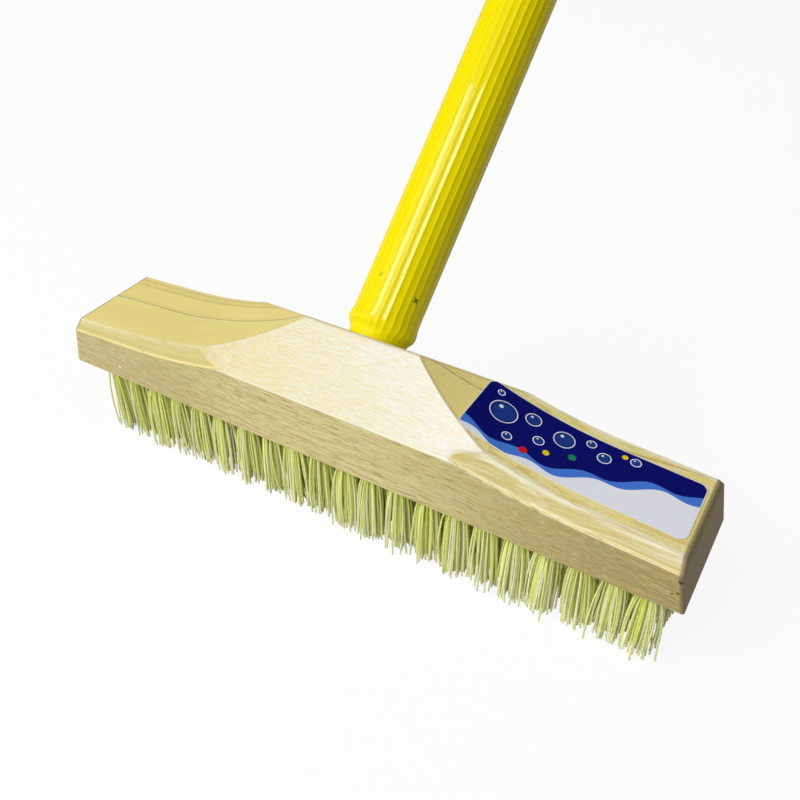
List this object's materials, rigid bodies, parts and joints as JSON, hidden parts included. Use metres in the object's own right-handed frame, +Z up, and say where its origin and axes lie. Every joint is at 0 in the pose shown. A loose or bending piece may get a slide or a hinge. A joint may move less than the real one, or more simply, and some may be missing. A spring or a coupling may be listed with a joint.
{
  "type": "scrub brush",
  "caption": "Floor scrub brush: a scooped wooden block with rows of stiff pale bristles, and a long yellow sleeved steel handle that unscrews from a leaning socket.",
  "frame": {"origin": "centre of the plane of the bristle tips, under the middle of the block", "axes": "+X along the block towards the labelled end, +Y back towards the handle, +Z up"},
  "size_m": [0.2398, 0.9616, 0.8765],
  "materials": {
    "wood": "bare planed hardwood",
    "label": "printed film",
    "bristle": "pale stiff filament",
    "anchor_wire": "flat wire",
    "tube": "bare steel",
    "sleeve": "ribbed glossy film",
    "plug": "moulded",
    "cap": "moulded"
  },
  "bodies": {
    "head": {"brush_block": "wood", "label": "label", "tuft_row_1": "bristle", "tuft_row_2": "bristle", "tuft_row_3": "bristle", "tuft_row_4": "bristle", "tuft_row_5": "bristle", "anchor_row_1": "anchor_wire", "anchor_row_2": "anchor_wire", "anchor_row_3": "anchor_wire", "anchor_row_4": "anchor_wire", "anchor_row_5": "anchor_wire"},
    "screw": {"screw_plug": "plug"},
    "handle": {"handle_tube": "tube", "handle_sleeve": "sleeve", "hang_cap": "cap"}
  },
  "joints": [
    {"name": "screw_travel", "type": "slide", "parent": "head", "child": "screw", "axis": [0, 0.7524, 0.6587], "range_m": [0, 0.02]},
    {"name": "handle_turn", "type": "hinge", "parent": "screw", "child": "handle", "pos_m": [0, 0.0094, 0.06097], "axis": [0, 0.7524, 0.6587], "range_deg": [0, 1800]}
  ],
  "couplings": [
    {"joint": "handle_turn", "follows": "screw_travel", "rad_per_m": 1570.8}
  ]
}
